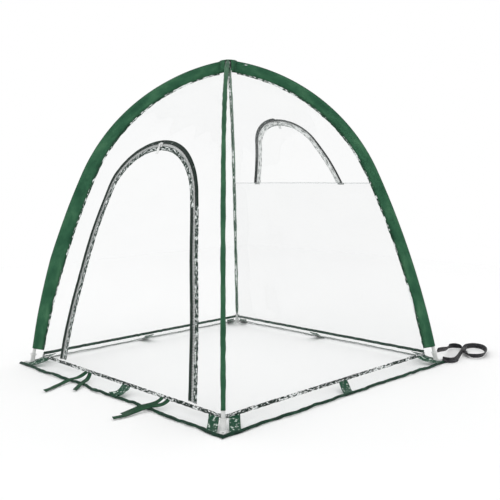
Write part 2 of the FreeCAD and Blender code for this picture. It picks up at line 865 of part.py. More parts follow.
for node, route in TIE_ROUTES.items():
    cord(node, route, size("tie_diameter"))
cord("storage_strap", STRAP_ROUTE, size("strap_diameter"))


# ---- Check and write ----
doc.recompute()
failed = [o.Name for o in doc.Objects if "Invalid" in o.State or "Error" in o.State]
if failed:
    raise RuntimeError(f"these objects failed: {failed}")
for item in PARTS:
    if item.Shape.isNull() or not item.Shape.isValid() or not item.Shape.Solids:
        raise RuntimeError(f"{item.Label} has no valid solid")

os.makedirs("parts", exist_ok=True)
for item in PARTS:
    item.Shape.exportStep(f"parts/{item.Label}.step")
print(f"{len(PARTS)} parts written")
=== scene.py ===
import math

import bpy
import numpy as np
from mathutils import Matrix, Vector, noise
from mathutils.geometry import delaunay_2d_cdt


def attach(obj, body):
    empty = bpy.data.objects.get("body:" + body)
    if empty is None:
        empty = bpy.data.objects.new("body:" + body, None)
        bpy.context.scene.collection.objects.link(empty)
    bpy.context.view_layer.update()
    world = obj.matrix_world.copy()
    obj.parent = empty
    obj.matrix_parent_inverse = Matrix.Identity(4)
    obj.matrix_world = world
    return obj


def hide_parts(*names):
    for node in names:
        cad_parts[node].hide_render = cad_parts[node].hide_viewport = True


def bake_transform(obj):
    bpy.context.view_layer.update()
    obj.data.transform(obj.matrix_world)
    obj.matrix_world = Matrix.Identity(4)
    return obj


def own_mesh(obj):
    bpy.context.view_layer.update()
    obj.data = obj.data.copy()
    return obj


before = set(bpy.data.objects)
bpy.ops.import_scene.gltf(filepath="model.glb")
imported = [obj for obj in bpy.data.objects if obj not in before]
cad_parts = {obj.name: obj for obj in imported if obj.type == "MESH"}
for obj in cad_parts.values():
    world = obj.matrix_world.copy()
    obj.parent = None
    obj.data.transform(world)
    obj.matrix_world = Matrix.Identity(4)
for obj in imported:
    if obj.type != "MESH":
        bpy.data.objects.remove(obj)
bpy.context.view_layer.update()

# A small dome greenhouse: four curved poles in cloth sleeves, clear film walls with a zipped door
# and window, and a film skirt on the ground. Metres, +Z up, the door faces -Y.
MM = 0.001
FLAT = 1 / math.sqrt(2)

# The sleeve's centre line, as the CAD draws it
FOOT_REACH = 0.700 * FLAT
APEX_HEIGHT = 0.724
SIDE_R = 2.205
CROWN_R = 0.451
CROWN_SLOPE = math.radians(8.5)
CROWN_X = -CROWN_R * math.sin(CROWN_SLOPE)
CROWN_Z = APEX_HEIGHT - CROWN_R * math.cos(CROWN_SLOPE)
FILM_OFFSET = -13.9 * MM
WALL_LOW = 18 * MM
APEX_GAP = 12 * MM

CORNERS = {"front_right": -45, "back_right": 45, "back_left": 135, "front_left": 225}
CORNER_ORDER = list(CORNERS)
SIDES = {"front": 0, "right": 90, "back": 180, "left": 270}
HANDS = ((1, "right"), (-1, "left"))


def corner_of(side, sign):
    """The corner at a side's right (sign 1) or left (sign -1) end, seen from outside."""
    index = list(SIDES).index(side)
    return CORNER_ORDER[index if sign > 0 else index - 1]


def side_centre():
    """Where the centre of the side's long arc lies, so that it runs on smoothly from the crown's arc."""
    gap = math.hypot(CROWN_X - FOOT_REACH, CROWN_Z)
    ux = (CROWN_X - FOOT_REACH) / gap
    uz = CROWN_Z / gap
    along = (SIDE_R**2 - (SIDE_R - CROWN_R) ** 2 + gap**2) / (2 * gap)
    across = math.sqrt(SIDE_R**2 - along**2)
    return FOOT_REACH + along * ux - across * uz, along * uz + across * ux


SIDE_X, SIDE_Z = side_centre()
JOIN = math.atan2(CROWN_Z - SIDE_Z, CROWN_X - SIDE_X)


def running_length(line):
    """The length along a line of points, up to each of them."""
    return np.concatenate([[0], np.cumsum(np.linalg.norm(np.diff(line, axis=0), axis=1))])


def rib_curve(offset, low, reach, step):
    """Points (reach, height), outward normals and running length of the offset centre line."""
    first = math.asin((low - SIDE_Z) / (SIDE_R + offset))
    last = math.acos((reach - CROWN_X) / (CROWN_R + offset))
    runs = []
    for cx, cz, radius, a, b in (
        (SIDE_X, SIDE_Z, SIDE_R + offset, first, JOIN),
        (CROWN_X, CROWN_Z, CROWN_R + offset, JOIN, last),
    ):
        count = max(3, round(radius * (b - a) / step))
        angles = np.linspace(a, b, count + 1)
        runs.append(np.stack([cx + radius * np.cos(angles), cz + radius * np.sin(angles), angles], 1))
    rows = np.concatenate([runs[0], runs[1][1:]])
    points = rows[:, :2]
    normals = np.stack([np.cos(rows[:, 2]), np.sin(rows[:, 2])], 1)
    return points, normals, running_length(points)


def wave(u, v, seed):
    """Smooth noise from about -1 to 1; it has no state, so it gives the same value each run."""
    return noise.noise(Vector((u, v, seed)))


def smooth(t):
    """An even step from 0 to 1."""
    t = min(max(t, 0.0), 1.0)
    return t * t * (3 - 2 * t)


# ---- Camera ----
EYE = Vector((1.3204, -1.2307, 0.4678))
AZIMUTH = math.radians(47.01)
ELEVATION = math.radians(5.88)
ROLL = -0.0131
camera_data = bpy.data.cameras.new("camera")
camera_data.sensor_width = 36
camera_data.lens = 53.39
camera_data.shift_x = 0.0386
camera_data.clip_end = 50
camera = bpy.data.objects.new("camera", camera_data)
back = Vector((
    math.sin(AZIMUTH) * math.cos(ELEVATION),
    -math.cos(AZIMUTH) * math.cos(ELEVATION),
    math.sin(ELEVATION),
))
level = Vector((math.cos(AZIMUTH), math.sin(AZIMUTH), 0))
above = back.cross(level)
right = level * math.cos(ROLL) + above * math.sin(ROLL)
upward = above * math.cos(ROLL) - level * math.sin(ROLL)
camera.matrix_world = Matrix.Translation(EYE) @ Matrix((right, upward, back)).transposed().to_4x4()
bpy.context.scene.collection.objects.link(camera)
bpy.context.scene.camera = camera
bpy.context.scene.view_settings.view_transform = "Standard"


# ---- Materials ----
def add_node(tree, kind, inputs=(), **props):
    """Adds a shader node. inputs pairs a socket's name or number with a value or another socket."""
    made = tree.nodes.new(kind)
    for name, value in props.items():
        setattr(made, name, value)
    for key, value in inputs:
        socket = made.inputs[key]
        if isinstance(value, bpy.types.NodeSocket):
            tree.links.new(value, socket)
        else:
            socket.default_value = value
    return made


def math_node(tree, operation, a, b):
    return add_node(tree, "ShaderNodeMath", [(0, a), (1, b)], operation=operation).outputs[0]


def ramp(tree, value, stops):
    """A colour ramp; stops are (place, colour)."""
    made = add_node(tree, "ShaderNodeValToRGB", [(0, value)])
    elements = made.color_ramp.elements
    while len(elements) < len(stops):
        elements.new(0.5)
    for element, (place, colour) in zip(elements, stops):
        element.position = place
        element.color = (*colour, 1) if len(colour) == 3 else (colour[0],) * 3 + (1,)
    return made.outputs[0]


def coordinates(tree, scale, use_uv=True):
    """Texture coordinates in metres times scale: along and across a tape, or the object's own."""
    if use_uv:
        source = add_node(tree, "ShaderNodeUVMap", uv_map="lay").outputs[0]
    else:
        source = add_node(tree, "ShaderNodeTexCoord").outputs["Object"]
    return add_node(tree, "ShaderNodeMapping", [("Vector", source), ("Scale", scale)]).outputs[0]


def noise_at(tree, scale, detail=3.0, roughness=0.55, use_uv=True):
    vector = coordinates(tree, scale, use_uv)
    inputs = [("Vector", vector), ("Scale", 1.0), ("Detail", detail), ("Roughness", roughness)]
    return add_node(tree, "ShaderNodeTexNoise", inputs).outputs[0]


def stripes(tree, scale, direction):
    vector = coordinates(tree, scale)
    inputs = [("Vector", vector), ("Scale", 1.0), ("Distortion", 0.3)]
    made = add_node(tree, "ShaderNodeTexWave", inputs, bands_direction=direction)
    return made.outputs[1]


def plain_material(name, colour, roughness, **sockets):
    made = bpy.data.materials.new(name)
    made.use_nodes = True
    tree = made.node_tree
    shader = tree.nodes["Principled BSDF"]
    shader.inputs["Base Color"].default_value = (*colour, 1)
    shader.inputs["Roughness"].default_value = roughness
    for key, value in sockets.items():
        shader.inputs[key.replace("_", " ")].default_value = value
    return made, tree, shader


def set_bump(tree, shader, height, strength, distance):
    inputs = [("Height", height), ("Strength", strength), ("Distance", distance)]
    tree.links.new(add_node(tree, "ShaderNodeBump", inputs).outputs[0], shader.inputs["Normal"])


def weave(tree, threads):
    """Height of a plain weave, with a number of threads to the metre each way."""
    size = (threads, threads, threads)
    return math_node(tree, "MULTIPLY", stripes(tree, size, "X"), stripes(tree, size, "Y"))


# The colour sockets of a mix node
MIX_A, MIX_B, MIX_RESULT = 6, 7, 2


def painted_edge_shade(tree, colour, band, line):
    """Paints shade along both edges of a tape. band runs from its first edge to its last, in metres."""
    across = add_node(tree, "ShaderNodeSeparateXYZ", [(0, coordinates(tree, (1, 1, 1)))]).outputs[1]
    inputs = [("Value", across), ("From Min", band[0]), ("From Max", band[1])]
    place = add_node(tree, "ShaderNodeMapRange", inputs).outputs[0]
    # Painted shade: the tape's rounded edges darker, as they turn from the light
    dark = (0.16, 0.2, 0.18)
    clear = (1.0, 1.0, 1.0)
    shade = ramp(tree, place, [(0.0, dark), (line, clear), (1 - line, clear), (1.0, dark)])
    inputs = [(0, 1.0), (MIX_A, colour), (MIX_B, shade)]
    mixed = add_node(tree, "ShaderNodeMix", inputs, data_type="RGBA", blend_type="MULTIPLY")
    return mixed.outputs[MIX_RESULT]


def cloth(name, dark, middle, light, patches, threads, roughness=0.6, sheen=0.05, band=None, line=0.1):
    """Woven cloth: broad painted light and shade as of folds, a finer mottle and a thread bump.

    patches and threads are how many of each there are to the metre."""
    made, tree, shader = plain_material(
        name, middle, roughness, Sheen_Weight=sheen, Sheen_Roughness=0.45, Specular_IOR_Level=0.12
    )
    # tone: broad painted light and shade, as of folds
    tone = noise_at(tree, (patches, patches * 2.5, patches), 4.0)
    speck = noise_at(tree, (threads / 3,) * 3, 2.0)
    broad = math_node(tree, "MULTIPLY", tone, 0.8)
    fine = math_node(tree, "MULTIPLY", speck, 0.2)
    colour = ramp(tree, math_node(tree, "ADD", broad, fine), [(0.34, dark), (0.5, middle), (0.68, light)])
    # A band adds painted shade along both edges of the tape
    if band:
        colour = painted_edge_shade(tree, colour, band, line)
    tree.links.new(colour, shader.inputs["Base Color"])
    rough = ramp(tree, speck, [(0.3, (roughness - 0.08,)), (0.7, (roughness + 0.1,))])
    tree.links.new(rough, shader.inputs["Roughness"])
    height = math_node(tree, "ADD", weave(tree, threads), math_node(tree, "MULTIPLY", tone, 2.0))
    set_bump(tree, shader, height, 0.5, 0.0004)
    return made


def painted_glints(name, dark, glint, share, grain, roughness=0.3, uneven=0.0):
    """Film sewn over cloth: dark where it lies flat, a white painted highlight where a pucker catches the
    light.

    share is the noise level above which it is white, so a higher one leaves more of it dark. grain is
    how many puckers there are to the metre each way. uneven gathers the white spots into some
    stretches and leaves others dark."""
    made, tree, shader = plain_material(name, dark, roughness, Specular_IOR_Level=0.15)
    spots = noise_at(tree, grain, 3.0, 0.6)
    stretches = math_node(tree, "SUBTRACT", noise_at(tree, (11, 11, 11), 2.0), 0.5)
    spots = math_node(tree, "ADD", spots, math_node(tree, "MULTIPLY", stretches, uneven))
    halfway = tuple(0.4 * g for g in glint)
    # Painted highlights: white glints where the noise is high
    colour = ramp(tree, spots, [(share - 0.05, dark), (share, halfway), (share + 0.05, glint)])
    tree.links.new(colour, shader.inputs["Base Color"])
    set_bump(tree, shader, spots, 0.6, 0.0012)
    return made


def film(name, tint, haze, mirror):
    """Clear film: mostly see-through, more of a mirror at a slant, with faint streaks.

    tint is the light it lets through, haze the share that it always scatters, and mirror the share
    added at a slant."""
    made, tree, shader = plain_material(name, (0.78, 0.8, 0.8), 0.12, Specular_IOR_Level=0.6)
    streak = noise_at(tree, (6, 14, 6), 5.0, 0.6)
    clear = ramp(tree, streak, [(0.3, tuple(t - 0.012 for t in tint)), (0.7, tint)])
    through = add_node(tree, "ShaderNodeBsdfTransparent", [("Color", clear)])
    slant = add_node(tree, "ShaderNodeLayerWeight", [("Blend", 0.25)]).outputs["Fresnel"]
    share = math_node(tree, "ADD", math_node(tree, "MULTIPLY", slant, mirror), haze)
    share = math_node(tree, "ADD", share, math_node(tree, "MULTIPLY", streak, haze * 0.6))
    ripple = noise_at(tree, (9, 9, 9), 2.0)
    set_bump(tree, shader, ripple, 0.35, 0.004)
    inputs = [(0, share), (1, through.outputs[0]), (2, shader.outputs[0])]
    mixed = add_node(tree, "ShaderNodeMixShader", inputs)
    tree.links.new(mixed.outputs[0], tree.nodes["Material Output"].inputs["Surface"])
    return made


def moulded(name, colour, roughness, metallic=0.0):
    """Moulded plastic or metal, with a fine mottle and a faint broad tone."""
    made, tree, shader = plain_material(name, colour, roughness, Metallic=metallic)
    mottle = noise_at(tree, (900, 900, 900), 3.0, use_uv=False)
    darker = tuple(0.86 * c for c in colour)
    tone = ramp(tree, noise_at(tree, (60, 60, 60), 4.0, use_uv=False), [(0.3, darker), (0.7, colour)])
    tree.links.new(tone, shader.inputs["Base Color"])
    rough = ramp(tree, mottle, [(0.3, (roughness * 0.8,)), (0.7, (min(1.0, roughness * 1.25),))])
    tree.links.new(rough, shader.inputs["Roughness"])
    set_bump(tree, shader, mottle, 0.4, 0.08 * MM)
    return made


# GREEN, TIE_GREEN and WEBBING have painted shade along both edges; every cloth has broad painted light
# and shade as of folds
GREEN = cloth(
    "sleeve_green", (0.015, 0.074, 0.038), (0.029, 0.115, 0.058), (0.06, 0.175, 0.09), 16, 1100,
    band=(-13.8 * MM, 13.3 * MM), line=0.09,
)
CAP_GREEN = cloth(
    "cap_green", (0.013, 0.068, 0.034), (0.026, 0.106, 0.052), (0.055, 0.165, 0.085), 16, 1100
)
BINDING = cloth(
    "hem_green", (0.002, 0.012, 0.008), (0.006, 0.036, 0.02), (0.02, 0.08, 0.045), 45, 1400, 0.5
)
TIE_GREEN = cloth(
    "tie_green", (0.01, 0.045, 0.024), (0.018, 0.07, 0.034), (0.03, 0.1, 0.05), 60, 1500, 0.5,
    band=(-4.5 * MM, 4.5 * MM), line=0.14,
)
WEBBING = cloth(
    "strap_black", (0.012, 0.012, 0.014), (0.03, 0.03, 0.033), (0.07, 0.07, 0.075), 90, 700, 0.5,
    band=(-6.5 * MM, 6.5 * MM), line=0.12,
)
THREAD = cloth("thread_green", (0.008, 0.04, 0.02), (0.018, 0.075, 0.038), (0.04, 0.12, 0.06), 200, 3000)
# These carry painted highlights: white glints in their colour
SEAM = painted_glints("seam_film", (0.006, 0.018, 0.013), (0.84, 0.87, 0.86), 0.54, (120, 330, 120), uneven=0.5)
WELT = painted_glints("welt_film", (0.014, 0.055, 0.03), (0.86, 0.9, 0.89), 0.56, (90, 260, 90), uneven=0.9)
ZIP_DARK = painted_glints("zip_dark", (0.004, 0.011, 0.009), (0.4, 0.45, 0.44), 0.68, (60, 240, 60))
ZIP_LIGHT = painted_glints("zip_light", (0.01, 0.026, 0.021), (0.8, 0.84, 0.83), 0.54, (110, 260, 110))
ZIP_GREY = painted_glints("zip_grey", (0.34, 0.37, 0.36), (0.82, 0.84, 0.83), 0.47, (60, 200, 60), uneven=0.3)
PATCH = painted_glints("patch_green", (0.004, 0.06, 0.028), (0.75, 0.88, 0.8), 0.6, (150, 150, 150))
FILM = film("film_clear", (0.988, 0.99, 0.99), 0.01, 0.1)
LOW_FILM = film("film_low", (0.952, 0.955, 0.955), 0.012, 0.1)
SKIRT_FILM = film("skirt_clear", (0.976, 0.98, 0.98), 0.02, 0.14)
POLE_WHITE = moulded("pole_white", (0.66, 0.67, 0.66), 0.28)
TIP_WHITE = moulded("tip_white", (0.7, 0.71, 0.7), 0.35)
HUB_BLACK = moulded("hub_black", (0.03, 0.032, 0.033), 0.5)
STEEL = moulded("ferrule_steel", (0.6, 0.61, 0.62), 0.3, 1.0)
TOOTH = moulded("zip_tooth", (0.55, 0.57, 0.56), 0.35)
ENAMEL = moulded("slider_enamel", (0.82, 0.83, 0.82), 0.3)

# The CAD's own pieces that stay to be seen, by how their names start
CAD_COATS = (
    ("rib_ferrule", STEEL), ("rib_", POLE_WHITE), ("foot_tip", TIP_WHITE), ("top_hub", HUB_BLACK),
    ("hub_pins", STEEL), ("door_zip_slider", ENAMEL), ("door_zip_pull", ENAMEL),
    ("window_zip_slider", ENAMEL), ("window_zip_pull", ENAMEL),
)
for node_name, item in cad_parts.items():
    for prefix, coat in CAD_COATS:
        if node_name.startswith(prefix):
            item.data.materials.clear()
            item.data.materials.append(coat)
            break


# ---- Mesh building ----
class Build:
    """Collects vertices and faces, with a place in metres along and across each face's cloth."""

    def __init__(self):
        self.points = []
        self.faces = []
        self.marks = []
        self.uvs = []

    def grid(self, rows, uvs, mark=0, close=False):
        """Rows of points, joined in quads; close joins each row's last point to its first."""
        start = len(self.points)
        wide = len(rows[0])
        for row, uv_row in zip(rows, uvs):
            self.points += [tuple(p) for p in row]
            self.uvs += [tuple(p) for p in uv_row]
        for i in range(len(rows) - 1):
            for j in range(wide if close else wide - 1):
                k = (j + 1) % wide
                a = start + i * wide
                self.faces.append((a + j, a + k, a + wide + k, a + wide + j))
                self.marks.append(mark)
        return start

    def loft(self, rings, uvs, mark=0):
        """Closed rings joined into a tube, with a flat end on each."""
        start = self.grid(rings, uvs, mark, close=True)
        wide = len(rings[0])
        last = start + (len(rings) - 1) * wide
        self.faces.append(tuple(start + i for i in reversed(range(wide))))
        self.faces.append(tuple(last + i for i in range(wide)))
        self.marks += [mark, mark]

    def block(self, centre, along, across, out, sizes, mark=0):
        """A small block, for a stitch or a zip tooth."""
        centre, along, across, out = (np.array(v) for v in (centre, along, across, out))
        ring = [(-1, -1), (1, -1), (1, 1), (-1, 1)]
        rings = []
        for end in (-0.5, 0.5):
            rings.append([
                centre + along * end * sizes[0] + across * 0.5 * a * sizes[1] + out * 0.5 * b * sizes[2]
                for a, b in ring
            ])
        uv = [[(2 * MM * i, 1 * MM * j) for j in range(4)] for i in range(2)]
        self.loft(rings, uv, mark)

    def object(self, name, materials, turn=0.0):
        """The mesh as an object in the scene, turned by degrees about the greenhouse's middle."""
        mesh = bpy.data.meshes.new(name)
        spin = Matrix.Rotation(math.radians(turn), 4, "Z")
        mesh.from_pydata([spin @ Vector(p) for p in self.points], [], self.faces)
        layer = mesh.uv_layers.new(name="lay")
        order = np.zeros(len(mesh.loops), np.int32)
        mesh.loops.foreach_get("vertex_index", order)
        layer.data.foreach_set("uv", np.array(self.uvs, np.float32)[order].ravel())
        for coat in materials:
            mesh.materials.append(coat)
        mesh.polygons.foreach_set("material_index", np.array(self.marks, np.int32))
        mesh.polygons.foreach_set("use_smooth", np.full(len(self.faces), True))
        mesh.validate()
        made = bpy.data.objects.new(name, mesh)
        bpy.context.scene.collection.objects.link(made)
        return made


def table(rows, columns, place):
    """Rows of points and of their places on the cloth. place(row, column) gives both."""
    pairs = [[place(row, column) for column in columns] for row in rows]
    return [[p for p, _ in line] for line in pairs], [[uv for _, uv in line] for line in pairs]


def strip(build, centres, across, out, width, thick, across_points):
    """A flat band along a line: its width runs across, its thickness out, with rounded edges.

    width is one number, or a list with one for each of the line's points."""
    centres, across, out = np.array(centres), np.array(across), np.array(out)
    run = running_length(centres)
    widths = np.broadcast_to(width, len(centres))
    places = np.linspace(-0.5, 0.5, across_points)

    def spot(i, column):
        sign, t = column
        rise = 0.5 * thick * sign * (1 - 0.5 * (2 * abs(t)) ** 4)
        return centres[i] + across[i] * widths[i] * t + out[i] * rise, (float(run[i]), widths[i] * t)

    columns = [(sign, t) for sign in (1, -1) for t in places * sign]
    build.loft(*table(range(len(centres)), columns, spot))


def fold_half(piece):
    """Bakes a half piece's transform into its mesh."""
    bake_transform(piece)


# ---- Film walls ----
FILM_STEP = 9 * MM
# The wall's middle line, from its foot to its top: y, z and the running length s up it
WALL_POINTS, _, _ = rib_curve(FILM_OFFSET, WALL_LOW, APEX_GAP, 3 * MM)
WALL_Y = -FLAT * WALL_POINTS[:, 0]
WALL_Z = WALL_POINTS[:, 1]
WALL_S = np.concatenate([[0], np.cumsum(np.hypot(np.diff(WALL_Y), np.diff(WALL_Z)))])
WALL_ROWS = (WALL_Y, WALL_Z, np.gradient(WALL_Y, WALL_S), np.gradient(WALL_Z, WALL_S))
WALL_TOP = float(WALL_S[-1])
WELD_HEIGHT = 0.441
WELD_PLACE = float(np.interp(WELD_HEIGHT, WALL_Z, WALL_S))
SEEDS = {"front": 3.1, "right": 7.7, "back": 12.3, "left": 17.9}
# How far the front wall's left half drifts in, and the place up the wall where that ends
DRIFT = 16 * MM
DRIFT_TOP = 0.5
# How far the loose film stands out in broad pulls and small ripples, and puckers at its seams
BROAD_SLACK = 3.2 * MM
FINE_SLACK = 1.1 * MM
SEAM_PUCKERS = 0.7 * MM
# The film is calm within the first of these of a zip's crest, and as loose as ever after both
SLIDER_ROOM = 14 * MM
CALM_FADE = 50 * MM


def half_width(s):
    """Half the wall's width at a place up it; its sides lean in at 45 degrees in plan."""
    return float(np.interp(s, WALL_S, -WALL_Y))


def wall_frame(s):
    """A wall point's y and z, its outward normal and its upward direction, all in the YZ plane."""
    y, z, dy, dz = (float(np.interp(s, WALL_S, row)) for row in WALL_ROWS)
    size = math.hypot(dy, dz)
    return y, z, (-dz / size, dy / size), (dy / size, dz / size)


def crest_calm(x, s, side):
    """0 beside the crest of a zip, where its slider runs, and 1 well away from it."""
    if side not in CRESTS:
        return 1.0
    line = CRESTS[side]
    away = float(np.hypot(line[:, 0] - x, line[:, 1] - s).min())
    return smooth((away - SLIDER_ROOM) / CALM_FADE)


def slack(x, s, side):
    """How far the film stands out: broad pulls and small puckers that die away at the seams."""
    seed = SEEDS[side]
    edge = min((half_width(s) - abs(x)) / 0.06, s / 0.05)
    broad = wave(x * 5 + s * 2.5, s * 4 - x * 2, seed)
    fine = wave(x * 17, s * 11 + x * 6, seed + 4)
    near = 1 - smooth((half_width(s) - abs(x)) / 0.05)
    pucker = near * wave(x * 4, s * 55, seed + 9)
    loose = crest_calm(x, s, side) * (BROAD_SLACK * broad + FINE_SLACK * fine)
    return smooth(edge) * loose + SEAM_PUCKERS * pucker * smooth(s / 0.02)


def drift(x, s, side):
    """The front wall's left half hangs a little towards the middle, most at the door's foot."""
    if side != "front" or x > 0:
        return 0.0
    part = min(-x / half_width(s), 1.0)
    return DRIFT * 4 * part * (1 - part) * max(0.0, 1 - s / DRIFT_TOP)


def on_wall(x, s, side, lift=0.0):
    """The point of a wall at x from its middle line and s up it, drawn as if on the front side."""
    y, z, normal, _ = wall_frame(s)
    rise = lift + slack(x, s, side)
    return (x + drift(x, s, side), y + rise * normal[0], z + rise * normal[1])


class Opening:
    """A zipped opening's outline, drawn in a plane that touches the wall at the outline's top.

    A round top of some radius ends where its side leans by lean degrees, and a longer arc runs from
    there to half_base from the middle at the height base. tilt is the plane's slope in degrees."""

    def __init__(self, top, tilt, radius, lean, half_base, base):
        tilt = math.radians(tilt)
        self.along = (math.sin(tilt), math.cos(tilt))
        self.radius = radius
        self.lean = math.radians(lean)
        self.top_yz = (float(np.interp(top, WALL_Z, WALL_Y)), top)
        heights = (WALL_Y - self.top_yz[0]) * self.along[0] + (WALL_Z - self.top_yz[1]) * self.along[1]
        keep = int(np.argmax(heights))
        self.heights = heights[:keep]
        self.places = WALL_S[:keep]
        self.foot = float(np.interp(base, WALL_Z, heights))
        side_top = (radius * math.cos(self.lean), radius * (math.sin(self.lean) - 1))
        wide = half_base - side_top[0]
        tall = side_top[1] - self.foot
        turn = self.lean - math.atan2(wide, tall)
        self.side_radius = math.hypot(wide, tall) / (2 * math.sin(turn))
        self.centre = (
            side_top[0] - self.side_radius * math.cos(self.lean),
            side_top[1] - self.side_radius * math.sin(self.lean),
        )

    def half(self, spread, step, lift=0.0):
        """The right half from its foot to its crest, as (x, place up the wall), moved out by spread."""
        radius = self.side_radius + spread
        low = math.asin((self.foot + lift - self.centre[1]) / radius)
        count = round(self.side_radius * (self.lean - low) / step)
        points = []
        for angle in np.linspace(low, self.lean, count + 1):
            x = self.centre[0] + radius * math.cos(angle)
            points.append((x, self.centre[1] + radius * math.sin(angle)))
        round_count = round(self.radius * (math.pi / 2 - self.lean) / step)
        crest = self.radius + spread
        for angle in np.linspace(self.lean, math.pi / 2, round_count + 1)[1:]:
            points.append((crest * math.cos(angle), crest * math.sin(angle) - self.radius))
        return [(max(x, 0.0), float(np.interp(a, self.heights, self.places))) for x, a in points]


DOOR = Opening(top=0.532, tilt=25, radius=0.163, lean=19, half_base=0.247, base=0.029)
WINDOW = Opening(top=0.598, tilt=31, radius=0.111, lean=25, half_base=0.148, base=WELD_HEIGHT)
OPENINGS = {"front": DOOR, "back": WINDOW}
ZIP_GAP = 1.0 * MM


def inside(points, loop):
    """Which points lie in a closed loop."""
    loop = np.array(loop)
    x, y = points[:, 0], points[:, 1]
    result = np.zeros(len(points), bool)
    for (x0, y0), (x1, y1) in zip(loop, np.roll(loop, -1, axis=0)):
        if y0 == y1:
            continue
        crosses = (y0 > y) != (y1 > y)
        result ^= crosses & (x < (x1 - x0) * (y - y0) / (y1 - y0) + x0)
    return result


def resample(line, step):
    """Even points along a line of any number of coordinates, about step apart."""
    line = np.array(line, float)
    lengths = running_length(line)
    count = max(1, round(lengths[-1] / step))
    places = np.linspace(0, lengths[-1], count + 1)
    return np.stack([np.interp(places, lengths, line[:, i]) for i in range(line.shape[1])], 1)


# Even triangles' row height, and the least gap from them to the outline, as shares of their side
TRIANGLE_ROW = 0.87
OUTLINE_GAP = 0.62


def triangles(loop, cuts, step):
    """Even triangles over a flat outline. cuts are lines inside it that the edges keep to."""
    fixed, edges = [], []
    for line, closed in [(loop, True)] + [(cut, False) for cut in cuts]:
        start = len(fixed)
        fixed += [tuple(p) for p in line]
        edges += [(start + i, start + i + 1) for i in range(len(line) - 1)]
        if closed:
            edges.append((len(fixed) - 1, start))
    fixed = np.array(fixed)
    low, high = fixed.min(0), fixed.max(0)
    spots = []
    for j, y in enumerate(np.arange(low[1] + step / 2, high[1], step * TRIANGLE_ROW)):
        for x in np.arange(low[0] + (j % 2) * step / 2, high[0], step):
            spots.append((x, y))
    spots = np.array(spots)
    spots = spots[inside(spots, loop)]
    near = np.full(len(spots), np.inf)
    for point in fixed:
        near = np.minimum(near, np.hypot(spots[:, 0] - point[0], spots[:, 1] - point[1]))
    spots = spots[near > step * OUTLINE_GAP]
    points = [Vector(p) for p in fixed] + [Vector(p) for p in spots]
    result = delaunay_2d_cdt(points, edges, [], 0, 1e-7)
    flat = np.array([tuple(p) for p in result[0]])
    faces = result[2]
    centres = np.array([flat[list(f)].mean(0) for f in faces])
    kept = inside(centres, loop)
    return flat, [f for f, k in zip(faces, kept) if k], centres[kept]


def half_loop(low, top):
    """The outline of the right half of a wall between two places up it."""
    edge = [(half_width(s), s) for s in np.linspace(low, top, 100)]
    lines = [[(0, low), (edge[0][0], low)], edge, [edge[-1], (0, top)], [(0, top), (0, low)]]
    return np.concatenate([resample(line, FILM_STEP)[:-1] for line in lines])


def film_object(name, flat, faces, side, sign):
    """One half of a wall or flap; below the weld the back wall's film is a little darker."""
    build = Build()
    used = sorted({i for face in faces for i in face})
    renumber = {old: new for new, old in enumerate(used)}
    for i in used:
        x, s = flat[i]
        build.points.append(on_wall(sign * x, s, side))
        build.uvs.append((sign * x, s))
    for face in faces:
        order = face if sign > 0 else face[::-1]
        build.faces.append(tuple(renumber[i] for i in order))
        below = side == "back" and flat[list(face)].mean(0)[1] < WELD_PLACE
        build.marks.append(1 if below else 0)
    return build.object(name, [FILM, LOW_FILM], SIDES[side])


def crest_line(opening):
    """The middle of an outline's round top, on both halves, as (x, place up the wall)."""
    half = [p for p in opening.half(0.0, 4 * MM) if p[0] < opening.radius * 0.62]
    top = half[-1][1]
    half = np.array([p for p in half if p[1] > top - opening.radius])
    return np.concatenate([half, half * (-1, 1)])


CRESTS = {side: crest_line(opening) for side, opening in OPENINGS.items()}


def make_walls():
    """Each wall's film in two halves, and the door's and the window's flap cut out of it."""
    for side in SIDES:
        loop = half_loop(0.0, WALL_TOP)
        hole = None
        cuts = []
        if side in OPENINGS:
            opening = OPENINGS[side]
            outline = opening.half(0.0, FILM_STEP)
            foot = resample([(0, outline[0][1]), outline[0]], FILM_STEP)
            cuts = [np.concatenate([foot[1:], outline[1:-1]])]
            hole = np.concatenate([foot, outline[1:]])
        flat, faces, centres = triangles(loop, cuts, FILM_STEP)
        within = inside(centres, hole) if hole is not None else np.zeros(len(faces), bool)
        outer = [f for f, w in zip(faces, within) if not w]
        inner = [f for f, w in zip(faces, within) if w]
        for sign, hand in HANDS:
            made = film_object(f"film_{side}_{hand}", flat, outer, side, sign)
            fold_half(made)
            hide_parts(f"wall_{side}")
            if inner:
                flap = film_object(f"flap_{side}_{hand}", flat, inner, side, sign)
                flap_moves(flap, side)
                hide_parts("door_flap" if side == "front" else "window_flap")


FLAP_BODY = {"front": "door", "back": "window"}


def flap_moves(piece, side):
    """A flap's half rides its flap, with its own copy of its mesh."""
    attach(piece, FLAP_BODY[side])
    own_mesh(piece)


make_walls()


# ---- Zips ----
TAPE_LIFT = 0.5 * MM
TAPE_THICK = 0.9 * MM
FLAP_TAPE = 11.5 * MM
TOOTH_SIZE = (1.6 * MM, 2.6 * MM, 1.3 * MM)
TOOTH_PITCH = 3.0 * MM
TOOTH_SET = 0.6 * MM
STITCH = (2.6 * MM, 0.6 * MM, 0.5 * MM)
STITCH_PITCH = 4.5 * MM
ZIP_STEP = 5 * MM
ZIP_COATS = [ZIP_DARK, ZIP_LIGHT, ZIP_GREY, TOOTH, THREAD]
DARK, LIGHT, GREY, TEETH, STITCHES = range(5)
# ZIP_DARK and ZIP_LIGHT are one tape with fewer and more painted highlights; a change between them is
# painted light
# A tape changes tone at this share of its length from the foot
ZIP_SWAP = 0.62
